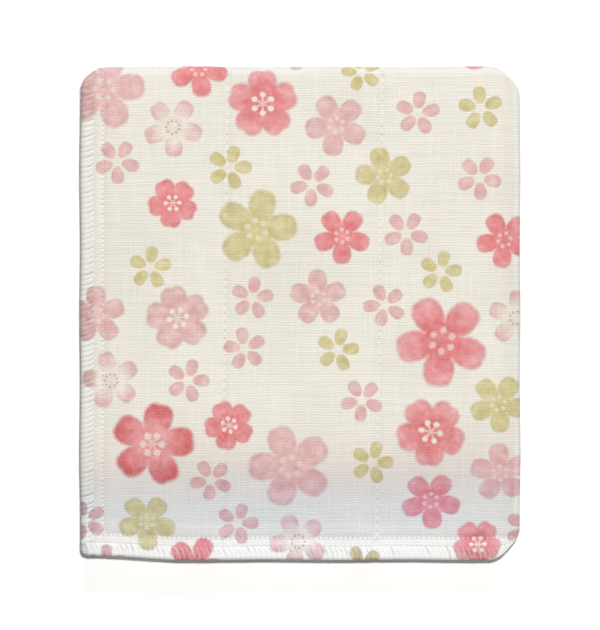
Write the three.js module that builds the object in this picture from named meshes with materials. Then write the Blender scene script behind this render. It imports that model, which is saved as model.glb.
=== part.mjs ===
// A dishcloth of quilted gauze, serged all round and folded twice into a quarter of its size.
// Millimetres, +Z up. The origin is at the middle of the underside of the folded stack.
//
// The cloth is one closed sheet with its print outwards. The first fold, at +X, doubles its width: it
// makes an outer half and an inner half, with two open edges at -X. The second fold, at +Y, doubles its
// length: it makes an upper half and a lower half, with four open edges at -Y. So the four layers are,
// from the top: outer, inner, inner, outer, and the last one lies on the table.
//
// Every point of the sheet has an across distance (from the outer half's open edge), an along distance
// (from the upper half's open edge) and a side (the printed face or the inner face). fold() carries it to
// an even stack, settle() gives the stack its uneven heights, and shapeOutline() rounds its corners.
import * as THREE from "three";

// Driving dimensions
const FOLDED_WIDTH = 150;
const FOLDED_LENGTH = 170;
const CLOTH_THICKNESS = 1.3;
const LAYER_GAP = 0.7;
const INNER_HALF_SET_BACK = 0.8; // how far the inner half stops short of the open left edge
const LOWER_HALF_SET_BACK = 1.1; // how far the lower half stops short of the open front edge
const INNER_HALF_SKEW = 0.005; // slope of the inner half's edge against the outer one's
const LOWER_HALF_SKEW = 0.006; // slope of the lower half's edge against the upper one's

// The serged hem: a band of thread wrapped over every cut edge, and a line of lockstitch beside it
const HEM_WIDTH = 5;
const HEM_SWELL = 0.3; // how much thicker the cloth is in the band
const HEM_FADE = 1.5; // how far the swell takes to fall to the plain cloth
const HEM_STITCH_INSET = 7.6; // from the cut edge to the line of lockstitch
const EDGE_ROUNDING = 1.1; // the cut edge thins to EDGE_SHARE of its thickness over this distance
const EDGE_SHARE = 0.55;

// Lines of quilting, as distances from the open left edge, the same on both halves
const QUILTING_LINES = [49.3, 101.8];
const GROOVE_DEPTH = 0.45; // how far a line of stitches draws a layer in
const GROOVE_HALF_WIDTH = 2.2;

// Heights of the settled stack, over an even one. A height is reached as the distance from its edge
// goes from one limit to the other.
const HEM_DIP = { height: -0.65, from: 31, to: 8.4 }; // the front hem is drawn down to its stitches
const PANEL_PUFF = { height: 0.35, from: HEM_STITCH_INSET, to: 40 }; // the panels between the lines
const BACK_FOLD_LOFT = { height: 0.5, from: 26, to: 4 }; // the springy second fold opens the stack
const SIDE_FOLD_LOFT = { height: 0.2, from: 16, to: 3 };
const HEM_GAP_LOSS = 0.3; // the thicker hems lie closer to each other
const SMALLEST_GAP = 0.32;
const RIPPLES = [
  // slow waves over the whole stack: height, wavelength, direction in degrees from +X, start in turns
  { height: 0.16, wavelength: 92, heading: 62, start: 0.13 },
  { height: 0.12, wavelength: 57, heading: -24, start: 0.41 },
  { height: 0.08, wavelength: 37, heading: 118, start: 0.77 },
];

// Outline of the folded stack seen from above
const CORNERS = [
  { name: "front left", sideX: -1, sideY: -1, radius: 3 },
  { name: "front right", sideX: 1, sideY: -1, radius: 9 },
  { name: "back left", sideX: -1, sideY: 1, radius: 8.5 },
  { name: "back right", sideX: 1, sideY: 1, radius: 9.5 },
];
const FRONT_EDGE_RISE = { height: 1.5, reachX: 36, reachY: 48 }; // the front edge runs up to the left
const EDGE_WANDER = { height: 0.22, wavelength: 47 }; // no edge is quite straight

// How finely the sheet is divided
const WIDEST_STEP = 18;
const FOLD_LINES = [8, 4]; // the last divisions before a fold lie this far from it
const SIDE_FOLD_STEPS = 6;
const BACK_FOLD_STEPS = 8;

const CLOTH_COLOUR = 0xede8dc;

// Measures that follow from these
const PITCH = CLOTH_THICKNESS + LAYER_GAP;
const TOP_LAYER = 3;
const STACK_HEIGHT = TOP_LAYER * PITCH + CLOTH_THICKNESS;
const HALF_WIDTH = FOLDED_WIDTH / 2;
const HALF_LENGTH = FOLDED_LENGTH / 2;

const SIDE_RADIUS = PITCH / 2; // middle of the cloth round the first fold
const SIDE_CENTRE_X = HALF_WIDTH - SIDE_RADIUS - CLOTH_THICKNESS / 2;
const OUTER_SPAN = SIDE_CENTRE_X + HALF_WIDTH;
const SIDE_ARC = Math.PI * SIDE_RADIUS;
const INNER_SPAN = OUTER_SPAN - INNER_HALF_SET_BACK;
const ACROSS = OUTER_SPAN + SIDE_ARC + INNER_SPAN;

const BACK_RADIUS = PITCH; // middle of the doubled cloth round the second fold
const BACK_CENTRE_Y = HALF_LENGTH - BACK_RADIUS - PITCH / 2 - CLOTH_THICKNESS / 2;
const UPPER_SPAN = BACK_CENTRE_Y + HALF_LENGTH;
const BACK_ARC = Math.PI * BACK_RADIUS;
const LOWER_SPAN = UPPER_SPAN - LOWER_HALF_SET_BACK;
const ALONG = UPPER_SPAN + BACK_ARC + LOWER_SPAN;

const acrossGrooves = [HEM_STITCH_INSET, ...QUILTING_LINES];

// From 0 to 1 as value goes from one limit to the other, up or down, without a kink at either
function ease(value, from, to) {
  const share = Math.min(1, Math.max(0, (value - from) / (to - from)));
  return share * share * (3 - 2 * share);
}

// The height that a feature reaches at this distance from its edge
function raise({ height, from, to }, distance) {
  return height * ease(distance, from, to);
}

// The first fold: where the middle of the cloth is across the stack, and which way its printed face looks
function acrossFold(across) {
  if (across <= OUTER_SPAN) return { x: across - HALF_WIDTH, rise: PITCH / 2, faceX: 0, faceUp: 1 };
  if (across >= OUTER_SPAN + SIDE_ARC) {
    const past = across - OUTER_SPAN - SIDE_ARC;
    return { x: SIDE_CENTRE_X - past, rise: -PITCH / 2, faceX: 0, faceUp: -1 };
  }
  const turn = (across - OUTER_SPAN) / SIDE_RADIUS;
  return {
    x: SIDE_CENTRE_X + SIDE_RADIUS * Math.sin(turn),
    rise: SIDE_RADIUS * Math.cos(turn),
    faceX: Math.sin(turn),
    faceUp: Math.cos(turn),
  };
}

// The second fold: rise is the height over the middle of the doubled cloth
function alongFold(along, rise) {
  const middle = STACK_HEIGHT / 2;
  if (along <= UPPER_SPAN) return { y: along - HALF_LENGTH, z: middle + BACK_RADIUS + rise };
  if (along >= UPPER_SPAN + BACK_ARC) {
    const past = along - UPPER_SPAN - BACK_ARC;
    return { y: BACK_CENTRE_Y - past, z: middle - BACK_RADIUS - rise };
  }
  const turn = (along - UPPER_SPAN) / BACK_RADIUS;
  return {
    y: BACK_CENTRE_Y + (BACK_RADIUS + rise) * Math.sin(turn),
    z: middle + (BACK_RADIUS + rise) * Math.cos(turn),
  };
}

// How much of its thickness the cloth keeps at this distance from the nearest cut edge
function edgeShare(across, along) {
  const inset = Math.min(across, ACROSS - across, along, ALONG - along);
  return EDGE_SHARE + (1 - EDGE_SHARE) * ease(inset, 0, EDGE_ROUNDING);
}

// A point of the sheet in the even stack: side is 1 on the printed face and -1 on the inner face
function fold(across, along, side) {
  const lift = (side * edgeShare(across, along) * CLOTH_THICKNESS) / 2;
  const section = acrossFold(across);
  const { y, z } = alongFold(along, section.rise + lift * section.faceUp);
  const turnedUnder = ease(across, OUTER_SPAN + SIDE_ARC / 2, OUTER_SPAN + SIDE_ARC);
  const turnedBelow = ease(along, UPPER_SPAN + BACK_ARC / 2, UPPER_SPAN + BACK_ARC);
  return {
    x: section.x + lift * section.faceX - INNER_HALF_SKEW * turnedUnder * y,
    y: y + LOWER_HALF_SKEW * turnedBelow * (section.x + HALF_WIDTH / 2),
    z,
  };
}

// 1 in the serged band along the open left and front edges, 0 in the plain cloth
function hemShare(x, y) {
  const fromLeft = x + HALF_WIDTH;
  const fromFront = y + HALF_LENGTH;
  const inset = Math.min(fromLeft, fromFront);
  return 1 - ease(inset, HEM_WIDTH, HEM_WIDTH + HEM_FADE);
}

// 1 on a line of stitches, falling to 0 at the groove's shoulders
function grooveShare(x, y) {
  const fromLeft = x + HALF_WIDTH;
  const fromFront = y + HALF_LENGTH;
  const offsets = acrossGrooves.map((groove) => Math.abs(fromLeft - groove));
  const nearest = Math.min(...offsets, Math.abs(fromFront - HEM_STITCH_INSET));
  return 1 - ease(nearest, 0, GROOVE_HALF_WIDTH);
}

// How far the top of the settled stack stands over the even one, hem and grooves apart
function stackLoft(x, y) {
  const fromLeft = x + HALF_WIDTH;
  const fromFront = y + HALF_LENGTH;
  const dip = raise(HEM_DIP, fromFront);
  const backFold = raise(BACK_FOLD_LOFT, HALF_LENGTH - y);
  const sideFold = raise(SIDE_FOLD_LOFT, HALF_WIDTH - x);
  const seams = [...acrossGrooves, FOLDED_WIDTH];
  const next = seams.findIndex((line) => fromLeft < line);
  let puff = 0;
  if (next > 0) {
    const place = (fromLeft - seams[next - 1]) / (seams[next] - seams[next - 1]);
    puff = raise(PANEL_PUFF, fromFront) * Math.sin(Math.PI * place);
  }
  const waves = RIPPLES.reduce((sum, { height, wavelength, heading, start }) => {
    const angle = THREE.MathUtils.degToRad(heading);
    const distance = x * Math.cos(angle) + y * Math.sin(angle);
    return sum + height * Math.sin(2 * Math.PI * (distance / wavelength + start));
  }, 0);
  return dip + backFold + sideFold + puff + waves;
}

// Gives each layer its own thickness and each gap its own height, with the underside left flat
function settle({ x, y, z }) {
  const hem = hemShare(x, y);
  const groove = grooveShare(x, y);
  const thickness = CLOTH_THICKNESS + HEM_SWELL * hem - GROOVE_DEPTH * groove;
  const openGap = LAYER_GAP - HEM_GAP_LOSS * hem + stackLoft(x, y) / TOP_LAYER;
  const gap = Math.max(SMALLEST_GAP, openGap) + GROOVE_DEPTH * groove;
  const layer = Math.min(TOP_LAYER, Math.max(0, Math.floor(z / PITCH)));
  const above = z - layer * PITCH;
  const inCloth = (Math.min(above, CLOTH_THICKNESS) / CLOTH_THICKNESS) * thickness;
  const inGap = (Math.max(0, above - CLOTH_THICKNESS) / LAYER_GAP) * gap;
  return { x, y, z: layer * (thickness + gap) + inCloth + inGap };
}

// Rounds the four corners and lets the edges wander, the same way through the whole stack
function shapeOutline({ x, y, z }) {
  let newX = x;
  let newY = y;
  for (const { sideX, sideY, radius } of CORNERS) {
    const shareX = (x * sideX - HALF_WIDTH) / radius + 1;
    const shareY = (y * sideY - HALF_LENGTH) / radius + 1;
    if (shareX <= 0 || shareY <= 0) continue;
    const roundX = shareX * Math.sqrt(1 - (shareY * shareY) / 2);
    const roundY = shareY * Math.sqrt(1 - (shareX * shareX) / 2);
    newX = sideX * (HALF_WIDTH + (roundX - 1) * radius);
    newY = sideY * (HALF_LENGTH + (roundY - 1) * radius);
  }
  const rise = FRONT_EDGE_RISE;
  const leftward = 1 - ease(newX + HALF_WIDTH, 0, rise.reachX);
  const frontward = 1 - ease(newY + HALF_LENGTH, 0, rise.reachY);
  const alongX = Math.sin((2 * Math.PI * newX) / EDGE_WANDER.wavelength);
  const alongY = Math.cos((2 * Math.PI * newY) / EDGE_WANDER.wavelength);
  const wander = EDGE_WANDER.height;
  return {
    x: newX * (1 + (wander / HALF_WIDTH) * (alongY - 1)),
    y: newY * (1 + (wander / HALF_LENGTH) * (alongX - 1)) + rise.height * leftward * frontward,
    z,
  };
}

// Even steps from one value to another, the last left out
function steps(from, to, count) {
  return Array.from({ length: count }, (_, i) => from + ((to - from) * i) / count);
}

// Distances of the sheet's cross lines from a cut edge to a fold: close at the edge, the hem, each
// groove and the fold, where the corners are round, and wide in the panels. Layers that are set back
// from the top one keep its cross lines, so that no layer's flats cut through the next one's.
function linesToFold(grooves, span, setBack) {
  const lines = [0, EDGE_ROUNDING, HEM_WIDTH - setBack];
  const stepTo = (next) => {
    const last = lines.at(-1);
    lines.push(...steps(last, next, Math.ceil((next - last) / WIDEST_STEP)).slice(1), next);
  };
  for (const groove of grooves) {
    const shoulder = Math.max(groove - GROOVE_HALF_WIDTH, HEM_WIDTH + HEM_FADE);
    stepTo(shoulder - setBack);
    lines.push(groove - setBack, groove + GROOVE_HALF_WIDTH - setBack);
  }
  FOLD_LINES.forEach((fromFold) => stepTo(span - fromFold));
  return lines;
}

// Cross lines over the whole sheet, from one cut edge over the fold to the other
function linesOverFold(grooves, longSpan, arc, shortSpan, arcSteps) {
  const whole = longSpan + arc + shortSpan;
  const beyond = linesToFold(grooves, shortSpan, longSpan - shortSpan);
  return [
    ...linesToFold(grooves, longSpan, 0),
    ...steps(longSpan, longSpan + arc, arcSteps),
    longSpan + arc,
    ...beyond.map((line) => whole - line).reverse(),
  ];
}

const acrossLines = linesOverFold(acrossGrooves, OUTER_SPAN, SIDE_ARC, INNER_SPAN, SIDE_FOLD_STEPS);
const alongLines = linesOverFold([HEM_STITCH_INSET], UPPER_SPAN, BACK_ARC, LOWER_SPAN, BACK_FOLD_STEPS);

// The closed sheet: a grid of points on each side, joined round its four cut edges
function clothGeometry() {
  const columns = acrossLines.length;
  const rows = alongLines.length;
  const positions = [];
  for (const side of [1, -1]) {
    for (const along of alongLines) {
      for (const across of acrossLines) {
        const { x, y, z } = shapeOutline(settle(fold(across, along, side)));
        positions.push(x, y, z);
      }
    }
  }
  const printed = (column, row) => row * columns + column;
  const inner = (column, row) => columns * rows + printed(column, row);
  const triangles = [];
  const addQuad = (a, b, c, d) => triangles.push(a, b, c, a, c, d);
  for (let row = 0; row < rows - 1; row++) {
    for (let column = 0; column < columns - 1; column++) {
      const ring = [
        [column, row],
        [column + 1, row],
        [column + 1, row + 1],
        [column, row + 1],
      ];
      // Seen from above, the flats of all four layers are cut along the same diagonal
      const mirrored = acrossLines[column] >= OUTER_SPAN !== alongLines[row] >= UPPER_SPAN;
      if (mirrored) ring.push(ring.shift());
      addQuad(...ring.map((place) => printed(...place)));
      const [a, b, c, d] = ring.map((place) => inner(...place));
      addQuad(a, d, c, b);
    }
  }
  const addRim = (from, to) => addQuad(inner(...from), inner(...to), printed(...to), printed(...from));
  for (let column = 0; column < columns - 1; column++) {
    addRim([column, 0], [column + 1, 0]);
    addRim([column + 1, rows - 1], [column, rows - 1]);
  }
  for (let row = 0; row < rows - 1; row++) {
    addRim([columns - 1, row], [columns - 1, row + 1]);
    addRim([0, row + 1], [0, row]);
  }
  const geometry = new THREE.BufferGeometry();
  geometry.setAttribute("position", new THREE.Float32BufferAttribute(positions, 3));
  geometry.setIndex(triangles);
  geometry.computeVertexNormals();
  return geometry;
}

const gauze = new THREE.MeshStandardMaterial({ color: CLOTH_COLOUR, roughness: 0.95, metalness: 0 });
const cloth = new THREE.Mesh(clothGeometry(), gauze);
cloth.name = "cloth";

const dishcloth = new THREE.Group();
dishcloth.add(cloth);
export default dishcloth;
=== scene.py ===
# %% [markdown]
# # A folded gauze dishcloth
#
# A dishcloth of this kind is a wide, thin pad: a few plies of loosely woven cotton gauze, printed with
# blossoms, sewn through in long lines and serged all round. It lies folded twice, into a quarter of its size.
#
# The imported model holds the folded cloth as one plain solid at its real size. This lesson makes a finer cloth
# on the same folds. It works as a maker does: the cloth is laid out flat, every stitch is sewn on the flat
# cloth, and only then is all of it folded up by one function. Print, weave and stitches follow by themselves.

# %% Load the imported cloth
import math

import bpy
import numpy as np
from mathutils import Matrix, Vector, noise


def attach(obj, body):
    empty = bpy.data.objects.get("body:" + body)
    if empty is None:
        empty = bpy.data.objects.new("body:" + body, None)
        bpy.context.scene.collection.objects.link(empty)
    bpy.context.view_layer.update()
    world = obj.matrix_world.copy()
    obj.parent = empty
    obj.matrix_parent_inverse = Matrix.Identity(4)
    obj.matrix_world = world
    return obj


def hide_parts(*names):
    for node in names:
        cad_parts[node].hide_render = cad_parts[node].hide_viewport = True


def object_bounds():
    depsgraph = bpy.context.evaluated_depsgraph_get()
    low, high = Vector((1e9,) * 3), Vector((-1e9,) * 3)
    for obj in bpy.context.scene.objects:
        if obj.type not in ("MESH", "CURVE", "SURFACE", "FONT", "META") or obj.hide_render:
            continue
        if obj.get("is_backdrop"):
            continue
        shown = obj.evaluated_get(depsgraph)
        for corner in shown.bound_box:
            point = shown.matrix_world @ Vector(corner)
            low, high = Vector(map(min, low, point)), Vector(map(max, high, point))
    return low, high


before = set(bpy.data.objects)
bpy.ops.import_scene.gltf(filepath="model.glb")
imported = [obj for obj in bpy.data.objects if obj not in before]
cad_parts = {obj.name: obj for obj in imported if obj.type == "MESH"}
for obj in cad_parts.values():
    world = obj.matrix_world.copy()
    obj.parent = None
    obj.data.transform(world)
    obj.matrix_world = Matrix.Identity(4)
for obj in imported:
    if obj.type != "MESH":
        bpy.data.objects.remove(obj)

solid_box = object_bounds()
bpy.ops.object.select_all(action="DESELECT")
solid_reach = [round(side * 1000, 2) for side in solid_box[1]]
print("solids:", sorted(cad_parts), "reach in mm:", solid_reach)

# %% [markdown]
# ## Camera, floor and light
#
# The photograph looks straight down, and 2.94 of its pixels make a millimetre. A long lens far away keeps
# the edges of the stack from leaning outwards. The floor is plain and pale. Three lights make the picture: a
# small high window almost overhead, a low one behind the cloth's folded end, and a faint pale sky all round.
# The high window leaves a short dark shadow along the front edge and a thinner one at the left.

# %% Camera
MM = 0.001
FRAME_PIXELS = 600
PIXELS_PER_MM = 2.94
PRINT_HEIGHT = 7.0  # mm, how high the printed face lies over the floor
AIM = (-0.1, -0.2)  # mm, the point of the cloth in the middle of the picture
LENS = 200  # mm
SENSOR_WIDTH = 36  # mm

camera_data = bpy.data.cameras.new("camera")
camera_data.lens = LENS
camera_data.sensor_width = SENSOR_WIDTH
camera_data.sensor_fit = "HORIZONTAL"
camera = bpy.data.objects.new("camera", camera_data)
bpy.context.scene.collection.objects.link(camera)
bpy.context.scene.camera = camera
seen_width = FRAME_PIXELS / PIXELS_PER_MM * MM
camera_height = PRINT_HEIGHT * MM + seen_width * LENS / SENSOR_WIDTH
camera.location = (AIM[0] * MM, AIM[1] * MM, camera_height)
print("camera height:", round(camera_height, 3), "m")


# %% Colours and nodes
def linear(hex_colour):
    """An sRGB hex colour, such as "ede6d8", as the linear RGBA that Blender's sockets take."""
    channels = [int(hex_colour[i : i + 2], 16) / 255 for i in (0, 2, 4)]
    return [c / 12.92 if c <= 0.04045 else ((c + 0.055) / 1.055) ** 2.4 for c in channels] + [1.0]


XYZ = slice(3)  # all three outputs of a node that takes a vector apart
SMOOTH = {"interpolation_type": "SMOOTHSTEP"}


def add(tree, kind, *values, out=0, named=None, **settings):
    """Adds a node. Values fill its sockets in order, named ones by name; a socket among them is linked.
    Returns the output with the number out, or several of them where out is a slice."""
    node = tree.nodes.new("ShaderNode" + kind)
    for name, setting in settings.items():
        setattr(node, name, setting)
    for place, value in [*enumerate(values), *(named or {}).items()]:
        if value is None:
            continue
        if isinstance(value, bpy.types.NodeSocket):
            tree.links.new(value, node.inputs[place])
        else:
            node.inputs[place].default_value = value
    return node.outputs[out] if node.outputs else None


def new_material(name):
    """An empty material and its node tree."""
    material = bpy.data.materials.new(name)
    material.use_nodes = True
    material.node_tree.nodes.clear()
    return material, material.node_tree


# %% Floor
FLOOR_SIDE = 6.0  # m

bpy.ops.mesh.primitive_plane_add(size=FLOOR_SIDE, location=(0, 0, 0))
floor = bpy.context.object
floor.name = "floor"
floor_finish, tree = new_material("pale_studio_floor")
shader = add(tree, "BsdfDiffuse", linear("fbfbfb"), 0.0)
add(tree, "OutputMaterial", shader)
floor.data.materials.append(floor_finish)
floor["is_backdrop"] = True
print("floor:", FLOOR_SIDE, "m wide")


# %% Light
def window(name, place, size, watts, colour):
    """A square soft light that looks at the middle of the cloth. Its place and size are in metres."""
    data = bpy.data.lights.new(name, "AREA")
    data.size = size
    data.energy = watts
    data.color = linear(colour)[:3]
    light = bpy.data.objects.new(name, data)
    light.location = place
    light.rotation_euler = (-Vector(place)).to_track_quat("-Z", "Y").to_euler()
    bpy.context.scene.collection.objects.link(light)


window("high_window", (0.055, 0.135, 0.95), 0.06, 8.05, "fffdfb")
window("low_window", (0.0, 0.90, 0.45), 0.25, 3.8, "fbfcff")

world = bpy.data.worlds.new("pale_sky")
bpy.context.scene.world = world
world.use_nodes = True
world.node_tree.nodes.clear()
sky = add(world.node_tree, "Background", linear("f7f8f5"), 0.23)
add(world.node_tree, "OutputWorld", sky)
bpy.context.scene.view_settings.view_transform = "Standard"
print("lights:", [light.name for light in bpy.data.lights], "and", world.name)

# %% [markdown]
# ## The folds
#
# The solid's own folds are repeated here from its driving sizes, so that the fine cloth lies where the solid
# does. The flat cloth has three measures, all in millimetres: *across* from the outer half's cut edge,
# *along* from the upper half's cut edge, and *height* over the middle of the cloth. One strip folds over a
# round bend. The cloth does that twice: first across, at the right, and then along, at the back. A simulation
# could fold the cloth, but it wouldn't end on the solid's folds, so each point's place is worked out.

# %% Sizes of the folded stack
FOLDED_WIDTH = 150
FOLDED_LENGTH = 170
CLOTH = 1.3
GAP = 0.7
INNER_SET_BACK = 0.8
LOWER_SET_BACK = 1.1
INNER_SKEW = 0.005
LOWER_SKEW = 0.006

PITCH = CLOTH + GAP
TOP_LAYER = 3
STACK_HEIGHT = TOP_LAYER * PITCH + CLOTH
HALF_WIDTH = FOLDED_WIDTH / 2
HALF_LENGTH = FOLDED_LENGTH / 2

SIDE_RADIUS = PITCH / 2
SIDE_CENTRE = HALF_WIDTH - SIDE_RADIUS - CLOTH / 2
OUTER_SPAN = SIDE_CENTRE + HALF_WIDTH
SIDE_ARC = math.pi * SIDE_RADIUS
INNER_SPAN = OUTER_SPAN - INNER_SET_BACK
ACROSS = OUTER_SPAN + SIDE_ARC + INNER_SPAN

BACK_RADIUS = PITCH
BACK_CENTRE = HALF_LENGTH - BACK_RADIUS - PITCH / 2 - CLOTH / 2
UPPER_SPAN = BACK_CENTRE + HALF_LENGTH
BACK_ARC = math.pi * BACK_RADIUS
LOWER_SPAN = UPPER_SPAN - LOWER_SET_BACK
ALONG = UPPER_SPAN + BACK_ARC + LOWER_SPAN
print("flat cloth:", round(ACROSS, 1), "by", round(ALONG, 1), "mm, stack height:", STACK_HEIGHT, "mm")


# %% The even stack
def ease(value, start, end):
    """From 0 to 1 as value goes from start to end, up or down, without a kink at either."""
    share = np.clip((value - start) / (end - start), 0, 1)
    return share * share * (3 - 2 * share)


def bend(distance, span, radius, centre, offset):
    """Where a point of a strip lies after its bend, and how high. Offset is outwards from its middle."""
    turn = np.clip((distance - span) / radius, 0, math.pi)
    before = np.minimum(distance - span, 0)
    past = np.maximum(distance - span - math.pi * radius, 0)
    place = centre + before - past + (radius + offset) * np.sin(turn)
    return place, (radius + offset) * np.cos(turn)


def fold(across, along, height):
    """Carries points of the flat cloth to the even stack."""
    x, rise = bend(across, OUTER_SPAN, SIDE_RADIUS, SIDE_CENTRE, height)
    y, z = bend(along, UPPER_SPAN, BACK_RADIUS, BACK_CENTRE, rise)
    turned_under = ease(across, OUTER_SPAN + SIDE_ARC / 2, OUTER_SPAN + SIDE_ARC)
    turned_below = ease(along, UPPER_SPAN + BACK_ARC / 2, UPPER_SPAN + BACK_ARC)
    skewed_y = y + LOWER_SKEW * turned_below * (x + HALF_WIDTH / 2)
    return x - INNER_SKEW * turned_under * y, skewed_y, z + STACK_HEIGHT / 2


middle_place = fold(ACROSS / 2, ALONG / 2, 0)
print("the flat cloth's middle folds to:", [round(float(value), 1) for value in middle_place], "mm")

# %% [markdown]
# ## The settled stack
#
# A pile of cloth never lies even. The serged hems are thick, each line of stitches draws the plies together,
# the panels between the lines stand up a little, the folds are springy, and the front hem sinks to its
# stitches. All of it is soft: a few tenths of a millimetre over centimetres. Every layer is also crumpled a
# little by itself, as gauze is after it has been made up. A simulation could settle the pile as well, but
# layers that touch all over are slow to come to rest. Soft formulas do it at once, and alike every time.

# %% Uneven heights
HEM_WIDTH = 5
HEM_SWELL = 0.3
HEM_FADE = 1.5
HEM_STITCH_INSET = 7.6
QUILTING_LINES = [49.3, 102.0]
QUILTING_SLANT = 0.0126  # the machine drifts this far across for each mm along
GROOVE_DEPTH = 0.45
GROOVE_HALF_WIDTH = 2.2
HEM_GAP_LOSS = 0.3
SMALLEST_GAP = 0.32
RAISED = {
    # height in mm, and how far from the edge there is none and all of it
    "front dip": {"height": -0.65, "none_at": 31, "full_at": 8.4},
    "panel": {"height": 0.35, "none_at": HEM_STITCH_INSET, "full_at": 40},
    "back fold": {"height": 0.5, "none_at": 26, "full_at": 4},
    "side fold": {"height": 0.2, "none_at": 16, "full_at": 3},
}
RIPPLES = [
    # height and wavelength in mm, heading in degrees, start as a share of a wave
    {"height": 0.16, "wavelength": 92, "heading": 62, "start": 0.13},
    {"height": 0.12, "wavelength": 57, "heading": -24, "start": 0.41},
    {"height": 0.08, "wavelength": 37, "heading": 118, "start": 0.77},
]
print("raised by, in mm:", {name: feature["height"] for name, feature in RAISED.items()})


# %% Hems, grooves and loft
def reached(feature, distance):
    """How much of its height a feature has at this distance from its edge."""
    return feature["height"] * ease(distance, feature["none_at"], feature["full_at"])


def hem_share(x, y):
    """1 in the serged hem along the open left and front edges, 0 in the plain cloth."""
    inset = np.minimum(x + HALF_WIDTH, y + HALF_LENGTH)
    return 1 - ease(inset, HEM_WIDTH, HEM_WIDTH + HEM_FADE)


def groove_share(x, y):
    """1 on a line of stitches, falling to 0 at the groove's shoulders."""
    from_left = x + HALF_WIDTH
    from_front = y + HALF_LENGTH
    nearest = np.minimum(np.abs(from_left - HEM_STITCH_INSET), np.abs(from_front - HEM_STITCH_INSET))
    for line in QUILTING_LINES:
        nearest = np.minimum(nearest, np.abs(from_left - line - QUILTING_SLANT * y))
    return 1 - ease(nearest, 0, GROOVE_HALF_WIDTH)


def stack_loft(x, y):
    """How far the top of the settled stack stands over the even one, hems and grooves apart."""
    from_left = x + HALF_WIDTH
    from_front = y + HALF_LENGTH
    loft = reached(RAISED["front dip"], from_front) + reached(RAISED["back fold"], HALF_LENGTH - y)
    loft += reached(RAISED["side fold"], HALF_WIDTH - x)
    seams = [HEM_STITCH_INSET, *QUILTING_LINES, FOLDED_WIDTH]
    for left, right in zip(seams, seams[1:]):
        place = np.clip((from_left - left) / (right - left), 0, 1)
        loft += reached(RAISED["panel"], from_front) * np.sin(math.pi * place)
    for ripple in RIPPLES:
        heading = math.radians(ripple["heading"])
        distance = x * math.cos(heading) + y * math.sin(heading)
        loft += ripple["height"] * np.sin(2 * math.pi * (distance / ripple["wavelength"] + ripple["start"]))
    return loft


print("loft in the middle:", round(float(stack_loft(0.0, 0.0)), 2), "mm")

# %% Crumple of the single layers
CRUMPLES = [
    # size of one crumple in mm, its height in mm
    {"size": 16, "height": 0.10},
    {"size": 6.5, "height": 0.055},
]
LAYER_SPREAD = 2  # how much further apart the layers count, so that no two have the same crumples
PUCKER_PITCH = 8.7  # along a line of stitches, three stitches
PUCKER_HEIGHT = 0.07
PUCKER_REACH = 9  # on either side of the line
PUCKER_PEAK = 1.5
PUCKER_START = 2
PUCKER_WANDER = {"turn": 0.9, "length": 11}


def crumple(x, y, z):
    """The small unevenness of each layer."""
    total = np.zeros_like(x)
    for row in CRUMPLES:
        points = np.stack([x, y, z * LAYER_SPREAD], axis=1) / row["size"]
        total += row["height"] * np.array([noise.noise(Vector(point)) for point in points])
    for line in QUILTING_LINES:
        from_line = np.abs(x + HALF_WIDTH - line - QUILTING_SLANT * y)
        fade = ease(from_line, PUCKER_REACH, PUCKER_PEAK) * ease(from_line, 0, PUCKER_START)
        wander = PUCKER_WANDER["turn"] * np.sin(y / PUCKER_WANDER["length"] + line)
        total += PUCKER_HEIGHT * fade * np.sin(2 * math.pi * y / PUCKER_PITCH + wander)
    return total * np.clip(z / PITCH, 0, 1)


# %% Heights of the settled layers
def settle(x, y, z):
    """Gives each layer its own thickness and each gap its own height. The underside stays flat."""
    hem = hem_share(x, y)
    groove = groove_share(x, y)
    thickness = CLOTH + HEM_SWELL * hem - GROOVE_DEPTH * groove
    open_gap = GAP - HEM_GAP_LOSS * hem + stack_loft(x, y) / TOP_LAYER
    gap = np.maximum(SMALLEST_GAP, open_gap) + GROOVE_DEPTH * groove
    layer = np.clip(np.floor(z / PITCH), 0, TOP_LAYER)
    above = z - layer * PITCH
    in_cloth = np.minimum(above, CLOTH) / CLOTH * thickness
    in_gap = np.maximum(above - CLOTH, 0) / GAP * gap
    return layer * (thickness + gap) + in_cloth + in_gap + crumple(x, y, z)


# %% Outline of the stack
CORNERS = [
    # which corner it is, its radius in mm, and how much flatter than round it is cut
    {"side_x": -1, "side_y": -1, "radius": 3, "cut": 0},
    {"side_x": 1, "side_y": -1, "radius": 11, "cut": 0.14},
    {"side_x": -1, "side_y": 1, "radius": 8.5, "cut": 0.07},
    {"side_x": 1, "side_y": 1, "radius": 11, "cut": 0.08},
]
FRONT_EDGE_RISE = {"height": 1.5, "reach_x": 36, "reach_y": 48}  # the front edge lies askew at the left
DRAWN_IN = {
    # the sewing has shrunk these edges back by so much
    "front": {"height": 1.2, "none_at": 34, "full_at": 9},
    "back": {"height": 0.35, "none_at": 20, "full_at": 0},
}
EDGE_WANDER = {"height": 0.12, "wavelength": 47}


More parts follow.
